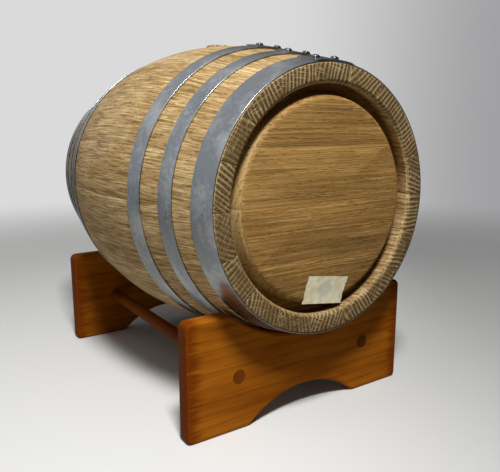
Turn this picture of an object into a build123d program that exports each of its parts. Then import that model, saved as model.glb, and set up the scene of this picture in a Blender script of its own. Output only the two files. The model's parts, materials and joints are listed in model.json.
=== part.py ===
"""A small oak ageing barrel lying in a stained two-board stand.

Millimetres, +Z up. The barrel's axis runs along Y, its front head faces -Y, and the origin is on
the floor under the middle of the barrel. Barrel pieces are made about the Y axis and then lifted.
"""
from build123d import *
import math
import os

# Driving dimensions: shell of staves
BARREL_LENGTH = 270.0
CHIME_RADIUS = 84.0
STAVE_END_LENGTH = 67.5
STAVE_END_SLOPE_DEG = 12.0
STAVE_THICKNESS = 12.0
STAVE_COUNT = 18
CHIME_CHAMFER = 2.5

# Heads, seated in the groove that the staves carry near each end
HEAD_RECESS = 3.0
HEAD_THICKNESS = 14.0
HEAD_RIM_THICKNESS = 5.0
HEAD_MARGIN_WIDTH = 9.6
HEAD_SIDE_FLARE = 3.0
HEAD_BOARD_COUNT = 4
HEAD_BOARD_WIDTH_SHARE = 0.447
CROZE_DEPTH = 3.0
CROZE_FIT = 0.1

# Dowels that pin the head boards edge to edge
HEAD_DOWEL_RADIUS = 2.5
HEAD_DOWEL_LENGTH = 20.0
HEAD_DOWEL_SPACING = 60.0
HEAD_DOWEL_FIT = 0.05
HEAD_DOWEL_END_ROOM = 0.5

# Tap hole in the front head and the tape over it
TAP_HOLE_RADIUS = 6.0
TAP_HOLE_EDGE_DISTANCE = 7.0
TAPE_LENGTH = 34.0
TAPE_WIDTH = 18.0
TAPE_THICKNESS = 0.3
TAPE_TILT_DEG = 8.5
TAPE_SKEW_DEG = 10.0

# Hoops: one strip stock, three widths
HOOP_THICKNESS = 0.8
HOOP_SEAT_GAP = 0.1
HEAD_HOOP_SETBACK = 0.5
HEAD_HOOP_WIDTH = 18.4
QUARTER_HOOP_WIDTH = 12.7
BILGE_HOOP_WIDTH = 13.5
QUARTER_TO_BILGE_GAP = 18.4
LAP_RAMP_LENGTH = 14.0
LAP_RAMP_END_SHARE = 0.25
HEAD_LAP_DEG = 0.5
QUARTER_LAP_DEG = 3.0
BILGE_LAP_DEG = 2.5

# Rivets through each hoop's lap
RIVET_SPACING = 15.0
RIVET_HEAD_RADIUS = 2.6
RIVET_HEAD_HEIGHT = 1.7
RIVET_SHANK_RADIUS = 1.5
RIVET_FIT = 0.05
RIVET_EDGE_DISTANCE = 6.0

# Bung at the top of the bilge
BUNG_HOLE_RADIUS = 9.0
BUNG_TAPER_DEG = 4.0
BUNG_STANDOUT = 2.0
BUNG_REACH = 5.0
BUNG_CHAMFER = 0.6
BUNG_FIT = 0.2

# Stand: two cradle boards on two round rails
CRADLE_WIDTH = 184.4
CRADLE_HEIGHT = 79.2
CRADLE_THICKNESS = 11.5
CRADLE_WEB_HEIGHT = 56.8
CRADLE_SIDE_CLEARANCE = 2.75
CRADLE_SEAT_GAP = 0.3
CRADLE_EDGE_RADIUS = 2.0
HORN_CORNER_RADIUS = 5.0
HORN_TIP_RADIUS = 8.0
FOOT_CORNER_RADIUS = 4.0
ARCH_WIDTH = 92.0
ARCH_HEIGHT = 18.0
ARCH_CORNER_RADIUS = 6.0
RAIL_RADIUS = 4.75
RAIL_SPACING = 108.6
RAIL_HEIGHT = 37.0
RAIL_FIT = 0.05

# How far every cut runs past the material that it cuts
CUT_OVERRUN = 5.0

FULL_TURN = 360.0
SIDES = {"front": -1, "rear": 1}

# Shell profile: staves are straight near their ends and bent to one arc between
HALF_LENGTH = BARREL_LENGTH / 2
STAVE_ANGLE = FULL_TURN / STAVE_COUNT
END_SLOPE = math.radians(STAVE_END_SLOPE_DEG)
BEND_RADIUS = (HALF_LENGTH - STAVE_END_LENGTH) / math.sin(END_SLOPE)
BEND_RISE = BEND_RADIUS * (1 - math.cos(END_SLOPE))
BILGE_RADIUS = CHIME_RADIUS + STAVE_END_LENGTH * math.tan(END_SLOPE) + BEND_RISE


def knee(depth):
    """Point (y, radius) where a layer of the shell, this deep, goes from its arc to its straight end."""
    arc = BEND_RADIUS - depth
    return arc * math.sin(END_SLOPE), BILGE_RADIUS - BEND_RADIUS + arc * math.cos(END_SLOPE)


def shell_radius(y, depth=0):
    """Radius of the shell at y from mid length, this deep under its outside."""
    knee_y, knee_radius = knee(depth)
    if y > knee_y:
        return knee_radius - (y - knee_y) * math.tan(END_SLOPE)
    return BILGE_RADIUS - BEND_RADIUS + math.sqrt((BEND_RADIUS - depth) ** 2 - y**2)


def shell_slope(y):
    """Angle in degrees between the outside's normal and the radius at y."""
    return min(STAVE_END_SLOPE_DEG, math.degrees(math.asin(y / BEND_RADIUS)))


# Groove for the heads, measured from the end of the staves
CROZE_FRONT = HEAD_RECESS + HEAD_THICKNESS - HEAD_RIM_THICKNESS
CROZE_BACK = HEAD_RECESS + HEAD_THICKNESS
CROZE_MOUTH_RADIUS = shell_radius(HALF_LENGTH - CROZE_FRONT, STAVE_THICKNESS)
CROZE_RADIUS = shell_radius(HALF_LENGTH - CROZE_BACK, STAVE_THICKNESS) + CROZE_DEPTH
HEAD_RIM_RADIUS = CROZE_RADIUS - CROZE_FIT
HEAD_BOARD_WIDTH = HEAD_BOARD_WIDTH_SHARE * HEAD_RIM_RADIUS
HEAD_FACE_RADIUS = CROZE_MOUTH_RADIUS - CROZE_FIT - HEAD_MARGIN_WIDTH
TAP_HOLE_DROP = HEAD_FACE_RADIUS - TAP_HOLE_EDGE_DISTANCE

# Hoop and cradle places, each from the end of the staves: the board stands between two hoops
CRADLE_SETBACK = HEAD_HOOP_SETBACK + HEAD_HOOP_WIDTH + CRADLE_SIDE_CLEARANCE
QUARTER_HOOP_SETBACK = CRADLE_SETBACK + CRADLE_THICKNESS + CRADLE_SIDE_CLEARANCE
BILGE_HOOP_SETBACK = QUARTER_HOOP_SETBACK + QUARTER_HOOP_WIDTH + QUARTER_TO_BILGE_GAP
HOOPS = {
    "head": (HEAD_HOOP_SETBACK, HEAD_HOOP_WIDTH, HEAD_LAP_DEG),
    "quarter": (QUARTER_HOOP_SETBACK, QUARTER_HOOP_WIDTH, QUARTER_LAP_DEG),
    "bilge": (BILGE_HOOP_SETBACK, BILGE_HOOP_WIDTH, BILGE_LAP_DEG),
}
LAP_LENGTH = RIVET_SPACING + 2 * RIVET_EDGE_DISTANCE

# Seat of the barrel in the cradle: the board's inner face meets the thickest part of the barrel
CRADLE_INNER_Y = HALF_LENGTH - CRADLE_SETBACK - CRADLE_THICKNESS
CRADLE_MIDDLE_Y = CRADLE_INNER_Y + CRADLE_THICKNESS / 2
SEAT_RADIUS = shell_radius(CRADLE_INNER_Y) + CRADLE_SEAT_GAP
AXIS_HEIGHT = CRADLE_WEB_HEIGHT + SEAT_RADIUS
ARCH_RADIUS = ((ARCH_WIDTH / 2) ** 2 + ARCH_HEIGHT**2) / (2 * ARCH_HEIGHT)


def spin(profile, angle=FULL_TURN):
    """Turn a closed profile of (y, radius) edges about the barrel's axis."""
    return revolve(Plane.YZ * make_face(profile), Axis.Y, angle)


def lift(shape):
    """Raise a shape from the barrel's axis to its height over the floor."""
    return Pos(0, 0, AXIS_HEIGHT) * shape


# Staves

def stave_end(side):
    """Profile of a stave's end: chime, inner chamfer and head groove."""
    croze_front = HALF_LENGTH - CROZE_FRONT + CROZE_FIT
    croze_back = HALF_LENGTH - CROZE_BACK - CROZE_FIT
    lip = HALF_LENGTH - CHIME_CHAMFER
    points = [
        (HALF_LENGTH, CHIME_RADIUS),
        (HALF_LENGTH, shell_radius(HALF_LENGTH, STAVE_THICKNESS) + CHIME_CHAMFER),
        (lip, shell_radius(lip, STAVE_THICKNESS)),
        (croze_front, shell_radius(croze_front, STAVE_THICKNESS)),
        (croze_front, CROZE_RADIUS),
        (croze_back, CROZE_RADIUS),
        (croze_back, shell_radius(croze_back, STAVE_THICKNESS)),
    ]
    return Polyline(*[(side * y, radius) for y, radius in points])


def shell_curve(start, finish, depth):
    """Profile of one layer of the shell from its front end to its rear end."""
    y, radius = knee(depth)
    bend = ThreePointArc((-y, radius), (0, BILGE_RADIUS - depth), (y, radius))
    return [Line(start, bend @ 0), bend, Line(bend @ 1, finish)]


def stave_profile():
    """Closed profile of a stave: outside, two ends and inside."""
    front, rear = stave_end(SIDES["front"]), stave_end(SIDES["rear"])
    outside = shell_curve(front @ 0, rear @ 0, 0)
    inside = shell_curve(front @ 1, rear @ 1, STAVE_THICKNESS)
    return outside + inside + front.edges() + rear.edges()


def bung_cone(low, high, clearance):
    """Tapered round between two heights over the axis, smaller than the bung hole by a clearance."""
    taper = math.tan(math.radians(BUNG_TAPER_DEG))

    def radius(height):
        return BUNG_HOLE_RADIUS + (height - BILGE_RADIUS) * taper - clearance

    return Pos(0, 0, (low + high) / 2) * Cone(radius(low), radius(high), high - low)


def make_staves():
    """The ring of staves. The one on top carries the bung hole."""
    wedge = Rot(0, -STAVE_ANGLE / 2, 0) * spin(stave_profile(), STAVE_ANGLE)
    hole = bung_cone(BILGE_RADIUS - STAVE_THICKNESS - CUT_OVERRUN, BILGE_RADIUS + CUT_OVERRUN, 0)
    staves = {"bung_stave": lift(wedge - hole)}
    for index in range(1, STAVE_COUNT):
        staves[f"stave_{index + 1:02d}"] = lift(Rot(0, index * STAVE_ANGLE, 0) * wedge)
    return staves


def make_bung():
    """The tapered bung, a little proud of the bilge and reaching inside."""
    low = BILGE_RADIUS - STAVE_THICKNESS - BUNG_REACH
    bung = bung_cone(low, BILGE_RADIUS + BUNG_STANDOUT, BUNG_FIT)
    return {"bung": lift(chamfer(bung.edges().filter_by(GeomType.CIRCLE), BUNG_CHAMFER))}


# Heads

def head_disc(side):
    """One whole head: raised face with steep sides, thin rim in the groove and flat back."""
    points = [
        (HEAD_RECESS, 0),
        (HEAD_RECESS, HEAD_FACE_RADIUS),
        (CROZE_FRONT, HEAD_FACE_RADIUS + HEAD_SIDE_FLARE),
        (CROZE_FRONT, HEAD_RIM_RADIUS),
        (CROZE_BACK, HEAD_RIM_RADIUS),
        (CROZE_BACK, 0),
    ]
    outline = Polyline(*[(side * (HALF_LENGTH - depth), radius) for depth, radius in points], close=True)
    return spin(outline.edges())


def head_joints():
    """Heights over the axis of the joints between head boards, from the top down."""
    middle = HEAD_BOARD_COUNT / 2
    return [(middle - index) * HEAD_BOARD_WIDTH for index in range(1, HEAD_BOARD_COUNT)]


def head_dowels(side, clearance, length):
    """The pins across every joint of one head, or the holes for them."""
    y = side * (HALF_LENGTH - HEAD_RECESS - HEAD_THICKNESS / 2)
    pin = Cylinder(HEAD_DOWEL_RADIUS + clearance, length)
    places = GridLocations(HEAD_DOWEL_SPACING, 0, 2, 1)
    return [Pos(0, y, z) * place * pin for z in head_joints() for place in places]


def head_slab(side, top, bottom):
    """Block that one head board is cut from."""
    size = HEAD_RIM_RADIUS + CUT_OVERRUN
    y = side * (HALF_LENGTH - HEAD_RECESS - HEAD_THICKNESS / 2)
    block = Box(2 * size, HEAD_THICKNESS + 2 * CUT_OVERRUN, top - bottom)
    return Pos(0, y, (top + bottom) / 2) * block


def tap_hole():
    """Cut for the tap through the front head."""
    y = SIDES["front"] * (HALF_LENGTH - HEAD_RECESS - HEAD_THICKNESS / 2)
    drill = Cylinder(TAP_HOLE_RADIUS, HEAD_THICKNESS + 2 * CUT_OVERRUN)
    return Pos(0, y, -TAP_HOLE_DROP) * Rot(90, 0, 0) * drill


def make_head(name, side):
    """The boards and dowels of one head."""
    disc = head_disc(side)
    if side == SIDES["front"]:
        disc -= tap_hole()
    edge = HEAD_RIM_RADIUS + CUT_OVERRUN
    levels = [edge] + head_joints() + [-edge]
    holes = head_dowels(side, HEAD_DOWEL_FIT, HEAD_DOWEL_LENGTH + 2 * HEAD_DOWEL_END_ROOM)
    pieces = {}
    for index, (top, bottom) in enumerate(zip(levels, levels[1:]), start=1):
        board = (disc & head_slab(side, top, bottom)) - holes
        pieces[f"{name}_head_board_{index}"] = lift(board)
    dowels = head_dowels(side, 0, HEAD_DOWEL_LENGTH)
    pieces[f"{name}_head_dowels"] = lift(Compound(children=dowels))
    return pieces


def make_tape():
    """The strip of tape stuck on the front head over the tap hole, slightly skewed."""
    lean = TAPE_WIDTH / 2 * math.tan(math.radians(TAPE_SKEW_DEG))
    right, top = TAPE_LENGTH / 2, TAPE_WIDTH / 2
    corners = [(lean - right, top), (lean + right, top), (right - lean, -top), (-right - lean, -top)]
    strip = extrude(make_face(Polyline(*corners, close=True)), TAPE_THICKNESS)
    face_y = SIDES["front"] * (HALF_LENGTH - HEAD_RECESS)
    seat = Plane((0, face_y, -TAP_HOLE_DROP), x_dir=(1, 0, 0), z_dir=(0, -1, 0))
    return {"tape_patch": lift(seat * Rot(0, 0, -TAPE_TILT_DEG) * strip)}


# Hoops and rivets

def hoop_band(side, setback, width, inside, thickness):
    """Profile of a flat strip laid tangent to the shell between two distances from the end."""
    middle = HALF_LENGTH - setback - width / 2
    rise = width / 2 * math.tan(math.radians(shell_slope(middle)))
    low = shell_radius(middle) + inside
    high = low + thickness
    ends = [(middle + width / 2, -rise), (middle - width / 2, rise)]
    outer = [(side * y, high + lean) for y, lean in ends]
    inner = [(side * y, low + lean) for y, lean in reversed(ends)]
    return Polyline(*outer, *inner, close=True).edges()


def strip_place(side, setback, width, height):
    """Frame at mid width of a strip, this high over the shell, with its Z square to the strip."""
    y = HALF_LENGTH - setback - width / 2
    return Pos(0, side * y, shell_radius(y) + height) * Rot(-side * shell_slope(y), 0, 0)


def arc_angle(length, radius):
    """Angle in degrees that a length takes up around a circle."""
    return math.degrees(length / radius)


def lapped_end(side, setback, width):
    """The end of a strip that lies over the other end, with a ramp down to the strip's other side."""
    outside = HOOP_SEAT_GAP + HOOP_THICKNESS
    radius = shell_radius(HALF_LENGTH - setback - width / 2) + outside
    lap = arc_angle(LAP_LENGTH, radius)
    ramp = arc_angle(LAP_RAMP_LENGTH, radius)
    end = spin(hoop_band(side, setback, width, outside, HOOP_THICKNESS), lap + ramp)
    fall = (1 - LAP_RAMP_END_SHARE) * HOOP_THICKNESS
    sag = radius * (1 - math.cos(math.radians(ramp / 2)))
    slope = math.degrees(math.atan(fall / LAP_RAMP_LENGTH))
    middle = strip_place(side, setback, width, outside + HOOP_THICKNESS - fall / 2 - sag)
    size = 2 * LAP_RAMP_LENGTH
    shaving = Rot(0, slope, 0) * Pos(0, 0, size / 2) * Box(size, width + 2 * CUT_OVERRUN, size)
    end -= Rot(0, lap + ramp / 2, 0) * middle * shaving
    return Rot(0, -lap / 2, 0) * end


def make_hoop(side, setback, width, lap_deg):
    """A closed strip with one end lapped over the other and holes for two rivets."""
    ring = spin(hoop_band(side, setback, width, HOOP_SEAT_GAP, HOOP_THICKNESS))
    hoop = Rot(0, lap_deg, 0) * (ring + lapped_end(side, setback, width))
    return hoop - rivets(side, setback, width, lap_deg, RIVET_FIT, CUT_OVERRUN)


def rivets(side, setback, width, lap_deg, clearance, overrun):
    """Shanks of one hoop's pair of rivets, or the holes for them when they overrun the strip."""
    length = 2 * HOOP_THICKNESS + 2 * overrun
    shank = Pos(0, 0, length / 2 - overrun) * Cylinder(RIVET_SHANK_RADIUS + clearance, length)
    return [place * shank for place in rivet_places(side, setback, width, lap_deg)]


def rivet_places(side, setback, width, lap_deg):
    """Seats of one hoop's rivets, each square to the strip's inside at mid width."""
    spread = arc_angle(RIVET_SPACING, shell_radius(HALF_LENGTH - setback - width / 2)) / 2
    seat = strip_place(side, setback, width, HOOP_SEAT_GAP)
    return [Rot(0, lap_deg + turn, 0) * seat for turn in (-spread, spread)]


def make_rivets(side, setback, width, lap_deg):
    """A pair of domed rivets through the lap."""
    dome_radius = (RIVET_HEAD_RADIUS**2 + RIVET_HEAD_HEIGHT**2) / (2 * RIVET_HEAD_HEIGHT)
    ball = Pos(0, 0, RIVET_HEAD_HEIGHT - dome_radius) * Sphere(dome_radius)
    cap = ball & Pos(0, 0, RIVET_HEAD_HEIGHT / 2) * Box(2 * dome_radius, 2 * dome_radius, RIVET_HEAD_HEIGHT)
    head = Pos(0, 0, 2 * HOOP_THICKNESS) * cap
    shanks = rivets(side, setback, width, lap_deg, 0, 0)
    places = rivet_places(side, setback, width, lap_deg)
    return Compound(children=[shank + place * head for shank, place in zip(shanks, places)])


def make_hoops():
    """Three hoops on each end of the barrel, each with its rivets."""
    pieces = {}
    for end, side in SIDES.items():
        for name, (setback, width, lap_deg) in HOOPS.items():
            pieces[f"{end}_{name}_hoop"] = lift(make_hoop(side, setback, width, lap_deg))
            pieces[f"{end}_{name}_hoop_rivets"] = lift(make_rivets(side, setback, width, lap_deg))
    return pieces


# Stand

def cradle_outline():
    """Face of a cradle board: round corners, a seat for the barrel and an arch between the feet."""
    board = Pos(0, CRADLE_HEIGHT / 2) * Rectangle(CRADLE_WIDTH, CRADLE_HEIGHT)
    board = fillet(board.vertices().group_by(Axis.Y)[-1], HORN_CORNER_RADIUS)
    board = fillet(board.vertices().group_by(Axis.Y)[0], FOOT_CORNER_RADIUS)
    board -= Pos(0, AXIS_HEIGHT) * Circle(SEAT_RADIUS)
    board -= Pos(0, ARCH_HEIGHT - ARCH_RADIUS) * Circle(ARCH_RADIUS)
    tips = board.vertices().group_by(Axis.Y)[-1].sort_by(Axis.X)[1:-1]
    board = fillet(tips, HORN_TIP_RADIUS)
    springs = board.vertices().group_by(Axis.Y)[0].sort_by(Axis.X)[1:-1]
    return fillet(springs, ARCH_CORNER_RADIUS)


def rail_places():
    """Where the two rails cross the cradle boards."""
    x = RAIL_SPACING / 2
    return {"left_rail": Pos(-x, 0, RAIL_HEIGHT), "right_rail": Pos(x, 0, RAIL_HEIGHT)}


def rail(radius, length):
    """A round rod along the barrel's length."""
    return Rot(90, 0, 0) * Cylinder(radius, length)


def make_stand():
    """Two cradle boards and the two rails that run right through them."""
    span = 2 * (CRADLE_MIDDLE_Y + CRADLE_THICKNESS / 2)
    board = extrude(Plane.XZ * cradle_outline(), CRADLE_THICKNESS / 2, both=True)
    faces = board.faces().sort_by(Axis.Y)
    board = fillet(faces[0].edges() + faces[-1].edges(), CRADLE_EDGE_RADIUS)
    drill = rail(RAIL_RADIUS + RAIL_FIT, CRADLE_THICKNESS + 2 * CUT_OVERRUN)
    board -= [place * drill for place in rail_places().values()]
    pieces = {f"{end}_cradle": Pos(0, side * CRADLE_MIDDLE_Y, 0) * board for end, side in SIDES.items()}
    for name, place in rail_places().items():
        pieces[name] = place * rail(RAIL_RADIUS, span)
    return pieces


def make_barrel():
    """Every piece of the part by name."""
    pieces = make_staves()
    for end, side in SIDES.items():
        pieces |= make_head(end, side)
    return pieces | make_tape() | make_hoops() | make_bung() | make_stand()


os.makedirs("parts", exist_ok=True)
for node, shape in make_barrel().items():
    export_step(shape, f"parts/{node}.step")
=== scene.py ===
"""Looks of a small oak ageing barrel that lies in a stained two-board stand.

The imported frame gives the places. Lengths are metres in its space: the barrel's axis runs along Y, the
front head faces -Y and the floor is at Z = 0. Barrel pieces are modelled about the Y axis and then
raised to the height of the barrel's own axis.
"""
from __future__ import annotations

import json
import logging
import math
import random
from collections.abc import Callable
from dataclasses import dataclass, replace
from enum import Enum
from functools import partial

import bmesh
import bpy
from mathutils import Matrix, Vector

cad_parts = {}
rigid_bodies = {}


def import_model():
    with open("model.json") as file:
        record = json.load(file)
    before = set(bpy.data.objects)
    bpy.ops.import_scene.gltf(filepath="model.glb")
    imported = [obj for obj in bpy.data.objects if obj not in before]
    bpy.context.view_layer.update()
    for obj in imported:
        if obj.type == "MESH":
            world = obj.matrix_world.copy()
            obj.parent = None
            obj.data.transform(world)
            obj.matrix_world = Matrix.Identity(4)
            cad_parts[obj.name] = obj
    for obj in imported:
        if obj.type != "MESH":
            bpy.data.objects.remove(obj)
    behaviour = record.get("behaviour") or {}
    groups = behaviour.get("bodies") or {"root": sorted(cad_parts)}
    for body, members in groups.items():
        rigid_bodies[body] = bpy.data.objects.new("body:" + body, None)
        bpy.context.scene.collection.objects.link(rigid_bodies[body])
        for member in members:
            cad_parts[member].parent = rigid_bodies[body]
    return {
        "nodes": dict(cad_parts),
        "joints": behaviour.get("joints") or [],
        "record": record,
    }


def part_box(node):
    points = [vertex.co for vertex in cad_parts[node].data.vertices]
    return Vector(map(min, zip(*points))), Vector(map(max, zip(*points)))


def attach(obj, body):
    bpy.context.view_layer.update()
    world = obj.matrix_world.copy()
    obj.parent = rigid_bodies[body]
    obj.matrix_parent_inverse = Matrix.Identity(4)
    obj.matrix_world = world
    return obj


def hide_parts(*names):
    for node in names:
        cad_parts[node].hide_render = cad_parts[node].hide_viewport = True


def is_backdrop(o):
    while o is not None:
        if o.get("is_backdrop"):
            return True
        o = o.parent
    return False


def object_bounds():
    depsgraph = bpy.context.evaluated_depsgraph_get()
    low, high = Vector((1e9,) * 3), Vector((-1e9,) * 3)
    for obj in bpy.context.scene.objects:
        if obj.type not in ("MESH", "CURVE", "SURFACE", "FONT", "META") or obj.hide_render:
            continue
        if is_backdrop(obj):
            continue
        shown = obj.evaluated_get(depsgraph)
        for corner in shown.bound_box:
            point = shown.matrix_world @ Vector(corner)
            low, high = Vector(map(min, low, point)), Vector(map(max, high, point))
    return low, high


LOG = logging.getLogger("barrel")
MM = 0.001
QUARTER_TURN = math.pi / 2
DOUBLES = 0.002 * MM
NEAR = 0.1 * MM
GRAIN = "grain"
SHADE = "shade"

# Settings that many nodes share
SOFT = {"interpolation_type": "SMOOTHSTEP"}
TIMES = {"operation": "MULTIPLY"}
TIMES_PLUS = {"operation": "MULTIPLY_ADD"}
DOT = {"operation": "DOT_PRODUCT"}

Piece = bpy.types.Object
Material = bpy.types.Material
Tree = bpy.types.NodeTree
Socket = bpy.types.NodeSocket
Span = tuple[float, float]
Size = tuple[float, float, float]
Spread = tuple[float, float, float, float]
Finishes = dict["Slot", Material]


class End(Enum):
    """The barrel's two ends, by the side of its middle that each lies on."""

    FRONT = -1
    REAR = 1

    @property
    def word(self) -> str:
        """The end's name in the names of nodes."""
        return self.name.lower()


class HoopKind(Enum):
    """A hoop's setback from the barrel's end, its width, and the turn of its lap from the top."""

    HEAD = (0.5 * MM, 18.4 * MM, math.radians(0.5))
    QUARTER = (35.9 * MM, 12.7 * MM, math.radians(3.0))
    BILGE = (67.0 * MM, 13.5 * MM, math.radians(2.5))


class Body(Enum):
    """The bodies that new pieces ride on."""

    BARREL = "barrel"
    BUNG = "bung"
    TAPE = "tape"


class Slot(Enum):
    """The record's material slots."""

    STAVE = "oak_stave"
    HEAD = "oak_head"
    BUNG = "oak_bung"
    DOWEL = "beech_dowel"
    HOOP = "galvanised_steel"
    RIVET = "rivet_steel"
    CRADLE = "stained_pine"
    RAIL = "stained_dowel"
    TAPE = "paper_tape"


# Bench work: the edit-mode steps that every new piece is modelled with


def turned(angle: float, axis: str) -> Matrix:
    """Turn about an axis through the origin."""
    return Matrix.Rotation(angle, 4, axis)


def pick(piece: Piece) -> None:
    """Select one piece alone and make it active.

    Args:
        piece: The piece to select.
    """
    bpy.ops.object.select_all(action="DESELECT")
    piece.select_set(True)
    bpy.context.view_layer.objects.active = piece


def label(name: str) -> Piece:
    """Name the active piece and its mesh, and return it."""
    bpy.context.object.name = bpy.context.object.data.name = name
    return bpy.context.object


def start(name: str, primitive: Callable[..., set[str]], **sizes: object) -> Piece:
    """Add a primitive with nothing else selected, so that operators act on it alone.

    Args:
        name: Name of the new piece.
        primitive: The operator that adds it.
        sizes: The operator's sizes and places.

    Returns:
        The new piece.
    """
    bpy.ops.object.select_all(action="DESELECT")
    primitive(**sizes)
    return label(name)


def trace(name: str, points: list[Span]) -> Piece:
    """Draw a line in the YZ plane by extruding one vertex from point to point.

    Args:
        name: Name of the new piece.
        points: Places (y, radius) along the line.

    Returns:
        The piece, in edit mode, with the whole line selected.
    """
    piece = start(name, bpy.ops.mesh.primitive_plane_add, size=MM)
    bpy.ops.object.mode_set(mode="EDIT")
    bpy.ops.mesh.merge(type="CENTER")
    bpy.ops.transform.translate(value=(0, *points[0]))
    for (y, radius), (next_y, next_radius) in zip(points, points[1:]):
        bpy.ops.mesh.extrude_verts_indiv()
        bpy.ops.transform.translate(value=(0, next_y - y, next_radius - radius))
    bpy.ops.mesh.select_all(action="SELECT")
    return piece


def spin(angle: float, steps: int) -> None:
    """Spin what is selected about the Y axis, from +Z towards +X for a positive angle."""
    bpy.ops.mesh.spin(steps=steps, angle=-angle, center=(0, 0, 0), axis=(0, 1, 0))


def select_edges(piece: Piece, test: Callable[[Vector, Vector], bool]) -> None:
    """Enter edit mode and select the edges whose two ends pass a test.

    Args:
        piece: The piece, active and in object mode.
        test: Function of an edge's two ends.
    """
    bpy.ops.object.mode_set(mode="EDIT")
    bpy.ops.mesh.select_mode(type="EDGE")
    bpy.ops.mesh.select_all(action="DESELECT")
    mesh = bmesh.from_edit_mesh(piece.data)
    for edge in mesh.edges:
        edge.select_set(test(edge.verts[0].co, edge.verts[1].co))
    bmesh.update_edit_mesh(piece.data)


def close_up() -> None:
    """Merge doubles of the piece in edit mode, turn all its faces outwards and leave edit mode."""
    bpy.ops.mesh.select_mode(type="VERT")
    bpy.ops.mesh.select_all(action="SELECT")
    bpy.ops.mesh.remove_doubles(threshold=DOUBLES)
    bpy.ops.mesh.normals_make_consistent(inside=False)
    bpy.ops.object.mode_set(mode="OBJECT")


def lathe(name: str, points: list[Span], steps: int) -> Piece:
    """Turn a profile a full turn about the Y axis.

    Args:
        name: Name of the new piece.
        points: Places (y, radius) along the profile, from the axis to the axis.
        steps: Number of faces around.

    Returns:
        The closed piece, in object mode.
    """
    piece = trace(name, points)
    spin(math.tau, steps)
    close_up()
    return piece


def work(piece: Piece, kind: str, **settings: object) -> None:
    """Put a modifier on a piece and apply it.

    Args:
        piece: The piece in object mode.
        kind: Type of the modifier.
        settings: Properties of the modifier.
    """
    modifier = piece.modifiers.new(kind.lower(), kind)
    for name, value in settings.items():
        setattr(modifier, name, value)
    pick(piece)
    bpy.ops.object.modifier_apply(modifier=modifier.name)


def ease_edges(piece: Piece, width: float, sharp: float = math.radians(30)) -> None:
    """Round all edges of a piece that are sharper than an angle."""
    limit = {"limit_method": "ANGLE", "angle_limit": sharp, "harden_normals": False}
    work(piece, "BEVEL", width=width, segments=2, **limit)


def smooth(piece: Piece, sharp: float = math.radians(35)) -> None:
    """Shade a piece smooth, except over sharp edges."""
    pick(piece)
    bpy.ops.object.shade_smooth_by_angle(angle=sharp)


def cut(piece: Piece, cutter: Piece) -> None:
    """Cut one piece out of another, and delete the cutter."""
    work(piece, "BOOLEAN", operation="DIFFERENCE", solver="MANIFOLD", object=cutter)
    bpy.data.objects.remove(cutter)


def copy_of(piece: Piece, name: str) -> Piece:
    """Duplicate a piece with a mesh of its own.

    Args:
        piece: The piece to copy.
        name: Name of the copy.

    Returns:
        The copy.
    """
    pick(piece)
    bpy.ops.object.duplicate()
    return label(name)


def settle(piece: Piece, place: Matrix) -> None:
    """Move a piece to its place and leave its object at the origin, unturned.

    Args:
        piece: The piece in object mode.
        place: Its place and turn.
    """
    piece.matrix_world = place
    pick(piece)
    bpy.ops.object.transform_apply(location=True, rotation=True, scale=True)


def join(name: str, pieces: list[Piece]) -> Piece:
    """Join several pieces into one mesh.

    Args:
        name: Name of the joined piece.
        pieces: The pieces to join.

    Returns:
        The joined piece.
    """
    pick(pieces[0])
    for piece in pieces:
        piece.select_set(True)
    bpy.ops.object.join()
    return label(name)


def place_in_log(chance: random.Random, spread: float) -> Matrix:
    """Draw the place in a large log that a piece is sawn from."""
    return Matrix.Translation(Vector([chance.uniform(-spread, spread) for _ in range(3)]))


def lay_grain(
    piece: Piece, log: Matrix, shade: float, unbent: Callable[[Vector], Vector] = Vector
) -> None:
    """Store where each point lay in the log that a piece was sawn from, with Y along the grain.

    Args:
        piece: The piece, at its place on the bench.
        log: Turns and moves the piece's own space into the log's.
        shade: How dark the whole piece is, from 0 to 1.
        unbent: Gives the place of a point before the piece was bent.
    """
    mesh = piece.data
    mesh.attributes.new(GRAIN, "FLOAT_VECTOR", "POINT")
    mesh.attributes.new(SHADE, "FLOAT", "POINT")
    for vertex, place, tone in zip(mesh.vertices, mesh.attributes[GRAIN].data, mesh.attributes[SHADE].data):
        place.vector = log @ unbent(vertex.co)
        tone.value = shade


def hand_over(piece: Piece, node: str, body: Body, slot: Slot, finishes: Finishes) -> None:
    """Dress a finished piece and let it stand for a node of the frame.

    Args:
        piece: The finished piece.
        node: The node that it replaces.
        body: The body that it rides on.
        slot: The record's material slot.
        finishes: The material of each slot.
    """
    piece.data.materials.clear()
    piece.data.materials.append(finishes[slot])
    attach(piece, body.value)
    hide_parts(node)
    LOG.info("%s stands for %s: %d faces", piece.name, node, len(piece.data.polygons))


# Finishes


def mm(*lengths: float) -> tuple[float, ...]:
    """Turn lengths in millimetres to metres."""
    return tuple(length * MM for length in lengths)


def linear(code: str) -> Spread:
    """Turn an sRGB hex colour to linear light.

    Args:
        code: Colour such as #C2A06A.

    Returns:
        Red, green, blue and alpha.
    """
    values = [int(code[at:at + 2], 16) / 255 for at in (1, 3, 5)]
    red, green, blue = (v / 12.92 if v <= 0.04045 else ((v + 0.055) / 1.055) ** 2.4 for v in values)
    return red, green, blue, 1.0


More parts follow.
